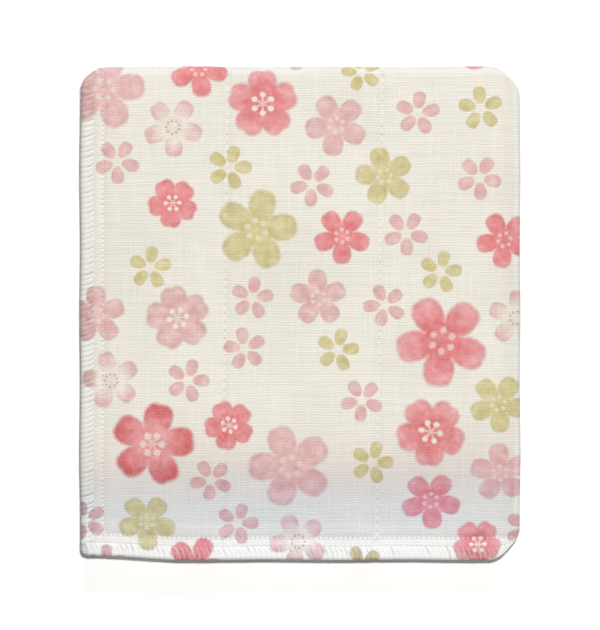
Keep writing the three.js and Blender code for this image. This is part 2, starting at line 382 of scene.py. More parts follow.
def shape_outline(x, y):
    """Rounds the four corners and lets the edges wander, the same way through the whole stack."""
    new_x = x.copy()
    new_y = y.copy()
    for corner in CORNERS:
        radius = corner["radius"]
        share_x = (x * corner["side_x"] - HALF_WIDTH) / radius + 1
        share_y = (y * corner["side_y"] - HALF_LENGTH) / radius + 1
        inside = (share_x > 0) & (share_y > 0)
        flatter = 1 - corner["cut"] * (share_x * share_y) ** 2
        round_x = share_x * np.sqrt(np.maximum(1 - share_y * share_y / 2, 0)) * flatter
        round_y = share_y * np.sqrt(np.maximum(1 - share_x * share_x / 2, 0)) * flatter
        new_x = np.where(inside, corner["side_x"] * (HALF_WIDTH + (round_x - 1) * radius), new_x)
        new_y = np.where(inside, corner["side_y"] * (HALF_LENGTH + (round_y - 1) * radius), new_y)
    rise = FRONT_EDGE_RISE
    leftward = 1 - ease(new_x + HALF_WIDTH, 0, rise["reach_x"])
    frontward = 1 - ease(new_y + HALF_LENGTH, 0, rise["reach_y"])
    along_x = np.sin(2 * math.pi * new_x / EDGE_WANDER["wavelength"])
    along_y = np.cos(2 * math.pi * new_y / EDGE_WANDER["wavelength"])
    moved_x = new_x * (1 + EDGE_WANDER["height"] / HALF_WIDTH * (along_y - 1))
    moved_y = new_y * (1 + EDGE_WANDER["height"] / HALF_LENGTH * (along_x - 1))
    moved_y += reached(DRAWN_IN["front"], new_y + HALF_LENGTH)
    moved_y -= reached(DRAWN_IN["back"], HALF_LENGTH - new_y)
    return moved_x, moved_y + rise["height"] * leftward * frontward


# %% Fold up
def fold_up(flat):
    """Carries an array of flat points, in mm, to their places in the finished stack, in metres."""
    x, y, z = fold(flat[:, 0], flat[:, 1], flat[:, 2])
    settled = np.maximum(settle(x, y, z), 0)  # what would reach below the table is pressed flat by it
    x, y = shape_outline(x, y)
    return np.stack([x, y, settled], axis=1) * MM


front_left = fold_up(np.zeros((1, 3)))[0] / MM
print("the front left corner folds to:", [round(float(value), 1) for value in front_left], "mm")

# %% [markdown]
# ## The flat cloth
#
# The cloth starts as a flat grid, as any sheet does, and Solidify gives it its thickness. The grid's lines
# are then moved closer together where the cloth bends: at the hems, the lines of stitches and the folds. A
# grid as fine as that all over would have six times as many faces, and look the same. Under the serging and
# at a line of stitches the plies are pressed together, so the sheet is thinner there.

# %% Grid lines of the sheet
EDGE_DRAW_IN = 0.25  # the serging draws the cut edge in
HEM_LINES_END = HEM_WIDTH + 0.4
FOLD_APPROACH = 4  # the grid grows fine again this far before a fold
BENT_STEP = 1.0
SHOWN_STEPS = (0.7, 1.8)  # in a groove and between the grooves
HIDDEN_STEPS = (1.1, 7.0)
SIDE_FOLD_STEPS = 8
BACK_FOLD_STEPS = 12


def lines_between(stops):
    """Distances from the first stop to the last. Each row holds a stop and the step that leads up to it."""
    lines = [stops[0][0]]
    for stop, step in stops[1:]:
        count = max(1, round((stop - lines[-1]) / step))
        lines.extend(np.linspace(lines[-1], stop, count + 1)[1:])
    return lines


def seam_stops(line, fine, coarse):
    """Stops round a line of stitches: coarse steps up to its groove and fine ones in it."""
    half_width = GROOVE_HALF_WIDTH
    if line in QUILTING_LINES:
        half_width += QUILTING_SLANT * HALF_LENGTH
    return [(line - half_width, coarse), (line, fine), (line + half_width, fine)]


def half_lines(span, seams, fine, coarse):
    """Grid lines from a cut edge to a fold."""
    stops = [(EDGE_DRAW_IN, 0), (HEM_LINES_END, BENT_STEP)]
    for seam in seams:
        stops += seam_stops(seam, fine, coarse)
    return np.array(lines_between(stops + [(span - FOLD_APPROACH, coarse), (span, BENT_STEP)]))


def whole_lines(near, far, span, arc, arc_steps):
    """Grid lines from one cut edge over the fold to the other."""
    bent = np.linspace(span, span + arc, arc_steps + 1)[1:-1]
    return np.concatenate([near, bent, (span + arc + far[-1] - far)[::-1]])


# %% Lay out the grid
across_seams = [HEM_STITCH_INSET, *QUILTING_LINES]
across_lines = whole_lines(
    half_lines(OUTER_SPAN, across_seams, *SHOWN_STEPS),
    half_lines(INNER_SPAN, across_seams, *HIDDEN_STEPS),
    OUTER_SPAN, SIDE_ARC, SIDE_FOLD_STEPS,
)
along_lines = whole_lines(
    half_lines(UPPER_SPAN, [HEM_STITCH_INSET], *SHOWN_STEPS),
    half_lines(LOWER_SPAN, [HEM_STITCH_INSET], *SHOWN_STEPS),
    UPPER_SPAN, BACK_ARC, BACK_FOLD_STEPS,
)
print("grid lines:", len(across_lines), "across,", len(along_lines), "along")


# %% Thickness of the flat cloth
HEM_PRESS = 0.36  # share of its thickness that the cloth loses under the serging
HEM_PRESS_FADE = (HEM_WIDTH - 0.4, HEM_WIDTH + 0.8)
SEAM_PRESS = 0.34
SEAM_PRESS_REACH = 1.3
EDGE_ROUNDING = 1.1
EDGE_SHARE = 0.5  # share of its thickness that is left at the cut edge


def quilting_at(line, along):
    """How far in from the cut edge a line of quilting runs, at a place along the flat cloth."""
    return line + QUILTING_SLANT * (np.minimum(along, ALONG - along) - HALF_LENGTH)


def cloth_half(across, along):
    """Half the thickness of the flat cloth at a point."""
    side_inset = np.minimum(across, ACROSS - across)
    end_inset = np.minimum(along, ALONG - along)
    inset = np.minimum(side_inset, end_inset)
    seam = np.abs(inset - HEM_STITCH_INSET)
    for line in QUILTING_LINES:
        seam = np.minimum(seam, np.abs(side_inset - quilting_at(line, along)))
    pressed = HEM_PRESS * (1 - ease(inset, *HEM_PRESS_FADE))
    pressed = np.maximum(pressed, SEAM_PRESS * (1 - ease(seam, 0, SEAM_PRESS_REACH)))
    edge = EDGE_SHARE + (1 - EDGE_SHARE) * ease(inset, 0, EDGE_ROUNDING)
    return CLOTH / 2 * (1 - pressed) * edge


for name, place in (("cut edge", 0), ("hem", HEM_WIDTH / 2), ("plain cloth", 2 * HEM_STITCH_INSET)):
    print("thickness of the " + name + ":", round(2 * float(cloth_half(ACROSS / 4, place)), 2), "mm")

# %% Cut and thicken the sheet
columns = len(across_lines)
rows = len(along_lines)
bpy.ops.mesh.primitive_grid_add(x_subdivisions=columns - 1, y_subdivisions=rows - 1, size=2)
sheet = bpy.context.object
sheet.name = "gauze_cloth"
sheet.data.name = "gauze_cloth"
thicken = sheet.modifiers.new("thickness", "SOLIDIFY")
thicken.thickness = CLOTH
thicken.offset = 0
bpy.ops.object.modifier_apply(modifier="thickness")


def read_points(mesh):
    """The mesh's points as an array."""
    points = np.empty(len(mesh.vertices) * 3)
    mesh.vertices.foreach_get("co", points)
    return points.reshape(-1, 3)


def write_points(mesh, points):
    """Moves the mesh's points to those of an array."""
    mesh.vertices.foreach_set("co", points.ravel())
    mesh.update()


start = read_points(sheet.data)
column = np.rint((np.clip(start[:, 0], -1, 1) + 1) / 2 * (columns - 1)).astype(int)
row = np.rint((np.clip(start[:, 1], -1, 1) + 1) / 2 * (rows - 1)).astype(int)
flat_sheet = np.stack([across_lines[column], along_lines[row], np.zeros(len(start))], axis=1)
flat_sheet[:, 2] = np.sign(start[:, 2]) * cloth_half(flat_sheet[:, 0], flat_sheet[:, 1])
write_points(sheet.data, fold_up(flat_sheet))
bpy.ops.object.shade_smooth()
print("sheet:", len(sheet.data.polygons), "faces")

# %% [markdown]
# ## The printed blossoms
#
# Cherry blossoms of a few plain shapes are printed on the outer ply. They are laid out in this chart,
# in millimetres on the flat cloth, and the whole chart repeats over the cloth as a printing screen does. The
# pattern could be painted as a picture, but then it would blur close up. So each face of the cloth is told
# which blossom it lies nearest to, and the material draws that blossom's petals by formula, however close
# the view.

# %% Chart of blossoms
REPEAT_ACROSS = 165
REPEAT_ALONG = 190
BLOSSOMS = [
    # across, along, radius, turn of the petals and of the stamens in degrees, shape, ink
    (8.0, 162.0, 14.0, 5, 56, "ringed", "blush"),
    (40.4, 168.9, 9.9, 62, 0, "ringed", "coral"),
    (62.2, 156.9, 11.9, 19, 30, "notched", "rose"),
    (31.6, 148.7, 10.2, 57, 20, "golden", "blush"),
    (12.7, 137.1, 7.5, 57, 0, "loose", "pink"),
    (50.9, 135.0, 7.5, 2, 0, "loose", "moss"),
    (31.6, 122.9, 8.5, 46, 2, "notched", "coral"),
    (60.1, 113.9, 13.7, 5, 40, "ringed", "moss"),
    (95.8, 167.9, 6.8, 33, 0, "loose", "moss"),
    (87.2, 149.5, 10.6, 45, 24, "ringed", "pink"),
    (115.0, 153.6, 7.5, 11, 0, "loose", "pink"),
    (136.5, 155.1, 7.5, 23, 0, "loose", "moss"),
    (79.1, 129.3, 7.5, 48, 0, "loose", "pink"),
    (103.6, 132.1, 9.9, 32, 10, "ringed", "moss"),
    (135.8, 131.5, 7.5, 59, 0, "loose", "pink"),
    (89.2, 111.7, 9.6, 54, 33, "ringed", "coral"),
    (111.0, 112.7, 7.5, 58, 0, "loose", "pink"),
    (144.6, 110.4, 9.6, 47, 15, "ringed", "coral"),
    (73.6, 176.0, 7.2, 54, 0, "loose", "pink"),
    (133.0, 179.4, 10.6, 66, 5, "ringed", "mauve"),
    (5.7, 84.8, 9.9, 20, 50, "ringed", "blush"),
    (23.8, 100.9, 7.2, 12, 0, "loose", "moss"),
    (33.4, 83.8, 10.9, 30, 12, "notched", "pink"),
    (58.6, 90.6, 7.2, 9, 0, "loose", "pink"),
    (81.1, 90.6, 9.6, 20, 38, "ringed", "pink"),
    (103.7, 88.2, 7.2, 40, 0, "loose", "pink"),
    (123.3, 76.0, 15.7, 47, 25, "ringed", "rose"),
    (122.8, 99.5, 7.2, 5, 0, "loose", "moss"),
    (148.4, 83.8, 9.6, 14, 0, "golden", "blush"),
    (87.7, 72.9, 7.2, 5, 0, "loose", "moss"),
    (56.1, 73.3, 7.2, 28, 0, "loose", "pink"),
    (10.5, 62.5, 9.9, 31, 20, "golden", "blush"),
    (36.6, 62.5, 7.3, 0, 0, "loose", "pink"),
    (96.0, 55.8, 7.2, 49, 0, "loose", "pink"),
    (142.5, 54.7, 9.9, 58, 17, "ringed", "moss"),
    (119.4, 45.0, 11.8, 50, 50, "notched", "rose"),
    (24.7, 40.7, 14.3, 6, 0, "tipped", "coral"),
    (50.8, 47.3, 8.5, 43, 42, "notched", "coral"),
    (99.4, 34.5, 7.2, 1, 0, "loose", "moss"),
    (71.6, 33.0, 14.3, 36, 18, "ringed", "blush"),
    (143.0, 30.9, 10.2, 22, 34, "ringed", "blush"),
    (44.6, 28.5, 7.2, 47, 0, "loose", "pink"),
    (119.5, 21.0, 10.2, 58, 28, "ringed", "mauve"),
    (22.6, 12.9, 9.9, 57, 30, "ringed", "moss"),
    (53.5, 12.7, 7.2, 0, 0, "loose", "pink"),
    (1.6, 12.6, 7.2, 34, 0, "loose", "pink"),
    (152.1, 10.9, 7.2, 0, 0, "loose", "pink"),
    (135.5, 5.6, 8.5, 56, 2, "notched", "rose"),
    (74.3, 6.4, 9.9, 43, 0, "golden", "blush"),
    (39.1, -1.6, 9.9, 64, 0, "ringed", "coral"),
    (9.0, -2.8, 6.8, 18, 0, "loose", "pink"),
    (95.9, -2.1, 7.2, 41, 0, "loose", "moss"),
]
print("blossoms in the chart:", len(BLOSSOMS))

# %% Shapes and inks of the blossoms
SHAPES = {
    # petal: middle, half length and half width; form: taper to the centre, notch at the tip, round core;
    # stamens: radius of their ring, size of a dot, share of stalk. All are shares of the blossom's radius.
    "loose": {"petal": (0.62, 0.385, 0.275), "form": (0.14, 0.0, 0.0), "stamens": (0.0, 0.0, 0.0)},
    "ringed": {"petal": (0.62, 0.38, 0.325), "form": (0.04, 0.01, 0.46), "stamens": (0.23, 0.075, 0.1)},
    "notched": {"petal": (0.58, 0.42, 0.405), "form": (0.05, 0.045, 0.70), "stamens": (0.27, 0.085, 0.8)},
    "tipped": {"petal": (0.60, 0.40, 0.335), "form": (0.08, 0.03, 0.53), "stamens": (0.225, 0.085, 0.8)},
    "golden": {"petal": (0.64, 0.36, 0.29), "form": (0.02, 0.02, 0.40), "stamens": (0.22, 0.045, 0.0)},
}
STAMEN_COUNTS = {"golden": 9}  # where a shape has other than six
INKS = {
    # colour at the heart, colour at the tips
    "coral": ("d4656b", "d4757a"),
    "rose": ("cf5a60", "d7868a"),
    "pink": ("d1a19f", "cfa3a2"),
    "blush": ("d5a6a5", "d3a7a6"),
    "mauve": ("d87080", "d3828c"),
    "moss": ("beb378", "c2b67f"),
}
GOLD = "b3a866"
RESERVE = "ddd8cd"  # where the print was held off
RESERVE_SHARES = {"ringed": 0.55, "notched": 0.95, "tipped": 0.75}
PALE_HEARTS = {"tipped": "d68386", "golden": "dbd0c8"}  # shapes that grow paler at the heart
DARK_TIPS = {"tipped": "c53a43"}
print("shapes:", list(SHAPES), "inks:", list(INKS))

# %% Painted light and shade on the cloth
# The photograph shows the dip behind the front hem in a cool shade and the front hem itself almost white. So
# shallow a dip hardly shades itself in soft light, so these tones are painted light and shade on the cloth.
# They multiply its colour, and were tuned by comparing the render with the photograph.
PAINTED_SHADING_ALONG = [
    # mm from the front edge, then shares of red, green and blue
    (0.0, 0.92, 0.96, 1.06),  # painted shade where the cut edge turns down
    (1.6, 1.06, 1.10, 1.24),  # painted light: the front hem shows almost white
    (7.0, 1.04, 1.09, 1.21),
    (9.7, 0.98, 1.03, 1.18),  # behind its stitches the painted shade of the dip begins
    (14.2, 0.88, 0.94, 1.09),  # painted cool shade in the dip
    (19.3, 0.87, 0.93, 1.05),
    (24.4, 0.87, 0.89, 0.99),
    (29.5, 0.87, 0.86, 0.91),  # and painted neutral shade where the cloth climbs out of it
    (34.6, 0.95, 0.92, 0.95),
    (39.8, 0.99, 0.97, 0.98),
    (45.6, 1.02, 1.02, 1.03),
    (56.0, 1.04, 1.05, 1.06),  # painted light on its shoulder, the lightest
    (75.0, 1.02, 1.03, 1.03),
    (95.0, 1.00, 1.00, 1.00),  # plain cloth
    (166.0, 1.00, 1.00, 1.00),
    (169.0, 0.95, 0.97, 1.06),  # painted shade where the back fold turns down
]
LOWER_SHADING_STOP = 7  # mm, the layers below keep the painted shading of this place from here on
SIDE_SHARE = 0.75  # how much of the painted shading along the cloth there is at its two sides
# painted shade over the serged side hems
SIDE_HEM_PAINTED_SHADE = (0.91, 0.92, 0.94)
SIDE_HEM_FADE = (HEM_WIDTH + 1, HEM_WIDTH)
# painted shade near the folded side
FOLDED_SIDE_PAINTED_SHADE = (0.95, 0.95, 0.93)
FOLDED_SIDE_FADE = (7, 1)
CUT_EDGE_PAINTED_SHADE = 0.20  # painted shade: how much darker the thread looks where it turns round the cut edge
CUT_EDGE_FADE = (2.4, 0)
print("tones along the cloth:", len(PAINTED_SHADING_ALONG), "stops")

# %% What the material has to know of a blossom
chart = np.array([blossom[:5] for blossom in BLOSSOMS], dtype=float)


def face_values(shape_name, ink_name):
    """What the material needs to know about a blossom."""
    shape = SHAPES[shape_name]
    heart, tips = INKS[ink_name]
    share = RESERVE_SHARES.get(shape_name, 0)
    reserved = np.array(linear(RESERVE)) * share + np.array(linear(heart)) * (1 - share)
    return {
        "petal": shape["petal"],
        "form": shape["form"],
        "stamens": shape["stamens"],
        "heart_ink": linear(PALE_HEARTS.get(shape_name, heart)),
        "tip_ink": linear(DARK_TIPS.get(shape_name, tips)),
        "stamen_ink": linear(GOLD) if shape_name == "golden" else reserved.tolist(),
        "stamen_step": math.pi / STAMEN_COUNTS.get(shape_name, 6),
    }


blossom_values = [face_values(*blossom[5:]) for blossom in BLOSSOMS]
print("values of a blossom:", list(blossom_values[0]))


# %% Find the blossom of every face
def print_places(flat):
    """Where points of the flat cloth take their print and weave. The outer plies go a longer way round the
    back fold than the inner ones, so the print is led round with them."""
    _, rise = bend(flat[:, 0], OUTER_SPAN, SIDE_RADIUS, SIDE_CENTRE, flat[:, 2])
    turn = np.clip((flat[:, 1] - UPPER_SPAN) / BACK_RADIUS, 0, math.pi)
    return np.stack([flat[:, 0], flat[:, 1] + rise * turn], axis=1)


def read_faces(mesh):
    """The point at each corner of the faces, each face's first corner, and how many corners it has."""
    points = np.empty(len(mesh.loops), dtype=int)
    mesh.loops.foreach_get("vertex_index", points)
    firsts = np.empty(len(mesh.polygons), dtype=int)
    mesh.polygons.foreach_get("loop_start", firsts)
    counts = np.empty(len(mesh.polygons), dtype=int)
    mesh.polygons.foreach_get("loop_total", counts)
    return points, firsts, counts


def nearest_blossoms(places):
    """The row of the chart whose blossom lies nearest to each place, and where that blossom's heart is."""
    repeat = np.array([REPEAT_ACROSS, REPEAT_ALONG])
    offsets = places[:, None, :] - chart[None, :, :2]
    offsets = (offsets + repeat / 2) % repeat - repeat / 2
    clearance = np.hypot(offsets[:, :, 0], offsets[:, :, 1]) - chart[None, :, 2]
    nearest = clearance.argmin(axis=1)
    return nearest, places - offsets[np.arange(len(places)), nearest]


# %% Lay the print on a mesh
def lay_print(mesh, flat):
    """Gives each face of a sewn mesh the blossom nearest to it and a map in that blossom's own measures."""
    corners, firsts, counts = read_faces(mesh)
    corner_places = print_places(flat)[corners]
    middles = np.add.reduceat(corner_places, firsts, axis=0) / counts[:, None]
    nearest, hearts = nearest_blossoms(middles)

    owner = np.repeat(np.arange(len(middles)), counts)
    from_heart = (corner_places - hearts[owner]) / chart[nearest[owner], 2:3]
    turn = np.radians(chart[nearest[owner], 3])
    local_x = from_heart[:, 0] * np.cos(turn) + from_heart[:, 1] * np.sin(turn)
    local_y = from_heart[:, 1] * np.cos(turn) - from_heart[:, 0] * np.sin(turn)
    local = np.stack([local_x, local_y], axis=1)
    while mesh.uv_layers:
        mesh.uv_layers.remove(mesh.uv_layers[0])
    maps = {"flat_mm": flat[corners, :2], "print_mm": corner_places, "blossom": local}
    for name, places in maps.items():
        mesh.uv_layers.new(name=name).uv.foreach_set("vector", places.ravel())

    known = {name: np.array([row[name] for row in blossom_values])[nearest] for name in blossom_values[0]}
    known["stamen_turn"] = np.radians(chart[nearest, 4] - chart[nearest, 3])
    for name, values in known.items():
        if name.endswith("_ink"):
            kind, field = "FLOAT_COLOR", "color"
        elif values.ndim == 2:
            kind, field = "FLOAT_VECTOR", "vector"
        else:
            kind, field = "FLOAT", "value"
        mesh.attributes.new(name, kind, "FACE").data.foreach_set(field, values.ravel())


# %% Lay the painted light and shade on a mesh
def lay_painted_shading(mesh, flat):
    """Tells every point its painted light and shade, and whether it is on the printed side."""
    across = flat[:, 0]
    on_top = (across < OUTER_SPAN) & (flat[:, 1] < UPPER_SPAN + BACK_ARC / 2)
    end_inset = np.minimum(flat[:, 1], ALONG - flat[:, 1])
    side_inset = np.minimum(across, ACROSS - across)
    from_front = np.where(on_top, flat[:, 1], np.minimum(end_inset, LOWER_SHADING_STOP))
    stops, *channels = np.array(PAINTED_SHADING_ALONG).T
    strength = SIDE_SHARE + (1 - SIDE_SHARE) * np.sin(math.pi * np.clip(across / FOLDED_WIDTH, 0, 1))
    side_hem_shade = ease(side_inset, *SIDE_HEM_FADE)
    folded_side_shade = ease(np.abs(across - OUTER_SPAN), *FOLDED_SIDE_FADE)
    cut_edge_shading = 1 - CUT_EDGE_PAINTED_SHADE * ease(side_inset, *CUT_EDGE_FADE)
    painted_shading = np.ones((len(flat), 4))
    for i, channel in enumerate(channels):
        painted_shading[:, i] = 1 + (np.interp(from_front, stops, channel) - 1) * strength
        painted_shading[:, i] *= cut_edge_shading * (1 + side_hem_shade * (SIDE_HEM_PAINTED_SHADE[i] - 1))
        painted_shading[:, i] *= 1 + folded_side_shade * (FOLDED_SIDE_PAINTED_SHADE[i] - 1)
    mesh.attributes.new("painted_shading", "FLOAT_COLOR", "POINT").data.foreach_set("color", painted_shading.ravel())
    on_print = np.maximum(np.sign(flat[:, 2]), 0)
    mesh.attributes.new("printed", "FLOAT", "POINT").data.foreach_set("value", on_print)


# %% Print the cloth
lay_print(sheet.data, flat_sheet)
lay_painted_shading(sheet.data, flat_sheet)
print("maps:", [layer.name for layer in sheet.data.uv_layers])

# %% [markdown]
# ## Stitches
#
# Three kinds of stitch hold the cloth together. *Serging* wraps a woolly thread over each cut edge, strand
# beside strand, from a line of needle stitches round the edge to the back. A *lockstitch* runs beside it, and
# the *quilting* runs in long lines through all plies. A strand and a stitch are each modelled once, small and
# straight, from a few dozen faces. Copies are then laid along the flat cloth, each a little different, and
# folded up with the same function as the cloth. Stitches could be drawn in the material, but the serging
# stands out round the cloth's edge, and all of them catch the light, so they are real shapes.

# %% Model one strand
STRAND_SIDES = 8
STRAND_RINGS = 11

bpy.ops.mesh.primitive_cylinder_add(
    vertices=STRAND_SIDES, radius=0.5, depth=1, end_fill_type="NGON", rotation=(0, math.pi / 2, 0)
)
strand = bpy.context.object
strand.name = "one_strand"
bpy.ops.object.transform_apply(location=False, rotation=True, scale=False)
bpy.ops.object.mode_set(mode="EDIT")
for ring in range(1, STRAND_RINGS):
    bpy.ops.mesh.select_all(action="SELECT")
    place = ring / STRAND_RINGS - 0.5
    bpy.ops.mesh.bisect(plane_co=(place, 0, 0), plane_no=(1, 0, 0))
bpy.ops.object.mode_set(mode="OBJECT")
strand_points = read_points(strand.data)
strand_faces = [list(face.vertices) for face in strand.data.polygons]
print("strand:", len(strand_points), "points,", len(strand_faces), "faces")

# %% Model one stitch
STITCH_MIDDLE = 0.3  # a stitch is drawn out this far from its middle, and keeps its round ends
STITCH_STRETCH = 1.35

bpy.ops.mesh.primitive_uv_sphere_add(segments=8, ring_count=6, radius=0.5, rotation=(0, math.pi / 2, 0))
stitch = bpy.context.object
stitch.name = "one_stitch"
bpy.ops.object.transform_apply(location=False, rotation=True, scale=False)
bpy.ops.object.mode_set(mode="EDIT")
bpy.ops.mesh.select_all(action="DESELECT")
bpy.ops.object.mode_set(mode="OBJECT")
for vertex in stitch.data.vertices:
    vertex.select = abs(vertex.co.x) < STITCH_MIDDLE
bpy.ops.object.mode_set(mode="EDIT")
bpy.ops.transform.resize(value=(STITCH_STRETCH, 1, 1))
bpy.ops.object.mode_set(mode="OBJECT")
stitch_points = read_points(stitch.data)
# Blender lists a sphere's faces in another order from run to run, so they are sorted
stitch_faces = sorted(list(face.vertices) for face in stitch.data.polygons)
print("stitch:", len(stitch_points), "points,", len(stitch_faces), "faces")


# %% Put many copies into one mesh
COPY_SHIFT = 7.3  # mm, each copy shows another stretch of its thread's grain


def sewn_piece(name, flat_copies, faces, thread_points):
    """One mesh of many copies. flat_copies holds the points of each on the flat cloth, and thread_points
    the points of one copy in its thread's own measures."""
    copies, points, _ = flat_copies.shape
    firsts = range(0, copies * points, points)
    all_faces = [[corner + first for corner in face] for first in firsts for face in faces]
    flat = flat_copies.reshape(-1, 3)
    mesh = bpy.data.meshes.new(name)
    mesh.from_pydata(fold_up(flat).tolist(), [], all_faces)
    piece = bpy.data.objects.new(name, mesh)
    bpy.context.scene.collection.objects.link(piece)
    lay_print(mesh, flat)
    lay_painted_shading(mesh, flat)
    on_thread = np.tile(thread_points, (copies, 1))
    on_thread[:, 0] += np.repeat(np.arange(copies), points) * COPY_SHIFT
    mesh.attributes.new("on_thread", "FLOAT_VECTOR", "POINT").data.foreach_set("vector", on_thread.ravel())
    bpy.ops.object.select_all(action="DESELECT")
    bpy.context.view_layer.objects.active = piece
    piece.select_set(True)
    bpy.ops.object.mode_set(mode="EDIT")
    bpy.ops.mesh.select_all(action="SELECT")
    bpy.ops.mesh.normals_make_consistent(inside=False)
    bpy.ops.object.mode_set(mode="OBJECT")
    bpy.ops.object.shade_smooth()
    print(name + ":", copies, "copies,", len(mesh.polygons), "faces")
    return piece


# %% The four sides of the flat cloth
# The machine travels round the cloth clockwise, seen from the print: up the left side, over the far end,
# down the right side and back along the near end. Each row holds where a side starts, and which way is
# onward and inward.
SIDES = [
    {"start": (0, 0), "onward": (0, 1), "inward": (1, 0), "length": ALONG},
    {"start": (0, ALONG), "onward": (1, 0), "inward": (0, -1), "length": ACROSS},
    {"start": (ACROSS, ALONG), "onward": (0, -1), "inward": (-1, 0), "length": ALONG},
    {"start": (ACROSS, 0), "onward": (-1, 0), "inward": (0, 1), "length": ACROSS},
]


def beside_edge(side, onward, inward, height):
    """Flat points from distances along a side, in from its edge, and over the middle of the cloth."""
    across = side["start"][0] + onward * side["onward"][0] + inward * side["inward"][0]
    along = side["start"][1] + onward * side["onward"][1] + inward * side["inward"][1]
    return np.stack(np.broadcast_arrays(across, along, height), axis=-1)


print("hem to serge:", round(sum(side["length"] for side in SIDES)), "mm")

# %% Serging strands
STRAND_PITCH = 1.74
STRAND_WIDTH = 1.90
STRAND_THICKNESS = 0.54
NEEDLE_INSET = 5.2
STRAND_HEIGHT = 0.40  # middle of the strand over the middle of the cloth
EDGE_TURN = 0.45  # the strand turns round the edge about this far in
FACE_SLANT = 1.75  # how far onward the strand leans from the edge to the needle line, on the print
SLANT_POWER = 2.1
BACK_SLANT = -0.5
CORNER_CLEAR = 5.0  # the side before has already wrapped the corner this far
LAST_STRAND_CLEAR = 2.2
STRAND_END = 0.07  # share of its length over which a strand thins out at either end
END_WIDTH = 0.45  # shares of its width and thickness that it keeps there
END_THICKNESS = 0.5
END_SINK = 0.30
EDGE_WIDENING = {"height": 0.25, "none_at": 0.35, "full_at": 0.1}  # it spreads towards the edge
STRAND_SPREAD = {"place": 0.09, "width": 0.07, "lift": 0.03, "slant": 0.08}
random = np.random.default_rng(11)


def serging_side(side):
    """The strands over one side, as points on the flat cloth."""
    onwards = np.arange(CORNER_CLEAR, side["length"] - LAST_STRAND_CLEAR, STRAND_PITCH)[:, None]
    shape = onwards.shape
    onwards = onwards + random.normal(0, STRAND_SPREAD["place"], shape)
    top_run = NEEDLE_INSET - EDGE_TURN
    whole_run = 2 * top_run + math.pi * STRAND_HEIGHT
    share = strand_points[:, 0][None, :] + 0.5
    ends = ease(np.minimum(share, 1 - share), 0, STRAND_END)
    width = STRAND_WIDTH * (END_WIDTH + (1 - END_WIDTH) * ends)
    width = width * (1 + random.normal(0, STRAND_SPREAD["width"], shape))
    width = width * (1 + reached(EDGE_WIDENING, np.abs(share - 0.5)))
    lift = strand_points[:, 2][None, :] * STRAND_THICKNESS * (END_THICKNESS + (1 - END_THICKNESS) * ends)
    lift = lift + random.normal(0, STRAND_SPREAD["lift"], shape) - END_SINK * (1 - ends)
    place, height = bend(share * whole_run, top_run, STRAND_HEIGHT, -EDGE_TURN, lift)
    inward = -place
    reach = np.clip(inward / NEEDLE_INSET, 0, 1.1)
    on_face = ease(height, -0.1, 0.1)
    slant_size = FACE_SLANT * (1 + random.normal(0, STRAND_SPREAD["slant"], shape))
    slant = on_face * slant_size * reach**SLANT_POWER + (1 - on_face) * BACK_SLANT * reach
    return beside_edge(side, onwards + slant + strand_points[:, 1][None, :] * width, inward, height)


strand_size = [2 * NEEDLE_INSET, STRAND_WIDTH, STRAND_THICKNESS]
serging_copies = np.concatenate([serging_side(side) for side in SIDES])
serging = sewn_piece("serging", serging_copies, strand_faces, strand_points * strand_size)


# %% Straight lines of stitches
STITCH_THICKNESS = 0.42
STITCH_DIVE = 0.9  # how steeply a stitch goes down into the cloth at its ends
STITCH_SPREAD = {"length": 0.06, "place": 0.06, "lean": 0.1}


def stitch_line(side, inset, first, last, pitch, length, width, height, slant=0):
    """Stitches in a row beside a side, as points on the flat cloth."""
    onwards = np.arange(first, last, pitch)[:, None]
    shape = onwards.shape
    inset = inset + slant * (np.minimum(onwards, side["length"] - onwards) - HALF_LENGTH)
    along_stitch = stitch_points[:, 0][None, :]
    thickness = stitch_points[:, 2][None, :]
    across_stitch = stitch_points[:, 1][None, :] * width
    onward = onwards + along_stitch * length * (1 + random.normal(0, STITCH_SPREAD["length"], shape))
    inward = inset + across_stitch + random.normal(0, STITCH_SPREAD["place"], shape)
    inward = inward + along_stitch * random.normal(0, STITCH_SPREAD["lean"], shape)
    lift = height + thickness * STITCH_THICKNESS - STITCH_DIVE * along_stitch**2
    return beside_edge(side, onward, inward, lift)


# %% Needle thread, hem stitches and quilting
HEM_STITCH = {"pitch": 1.67, "length": 1.05, "width": 0.72, "height": 0.48}
NEEDLE_STITCH = {"pitch": STRAND_PITCH, "length": 1.35, "width": 0.42, "height": 0.44}
QUILTING_STITCH = {"pitch": 2.9, "length": 1.1, "width": 0.50, "height": 0.40, "slant": QUILTING_SLANT}
FIRST_NEEDLE_STITCH = CORNER_CLEAR + 0.9  # from the corner
FIRST_HEM_STITCH = 8.2
FIRST_QUILTING_STITCH = 8.6
LAST_STITCH_CLEAR = 7.4  # from the next corner

needle_lines = [
    stitch_line(
        side, NEEDLE_INSET, FIRST_NEEDLE_STITCH, side["length"] - LAST_STRAND_CLEAR, **NEEDLE_STITCH
    )
    for side in SIDES
]
needle_thread = sewn_piece("needle_thread", np.concatenate(needle_lines), stitch_faces, stitch_points)
hem_lines = [
    stitch_line(
        side, HEM_STITCH_INSET, FIRST_HEM_STITCH, side["length"] - LAST_STITCH_CLEAR, **HEM_STITCH
    )
    for side in SIDES
]
hem_stitches = sewn_piece("hem_stitches", np.concatenate(hem_lines), stitch_faces, stitch_points)
quilting_lines = [
    stitch_line(side, line, FIRST_QUILTING_STITCH, ALONG - LAST_STITCH_CLEAR, **QUILTING_STITCH)
    for side in (SIDES[0], SIDES[2])
    for line in QUILTING_LINES
]
quilting = sewn_piece("quilting_stitches", np.concatenate(quilting_lines), stitch_faces, stitch_points)
bpy.data.objects.remove(strand)
bpy.data.objects.remove(stitch)
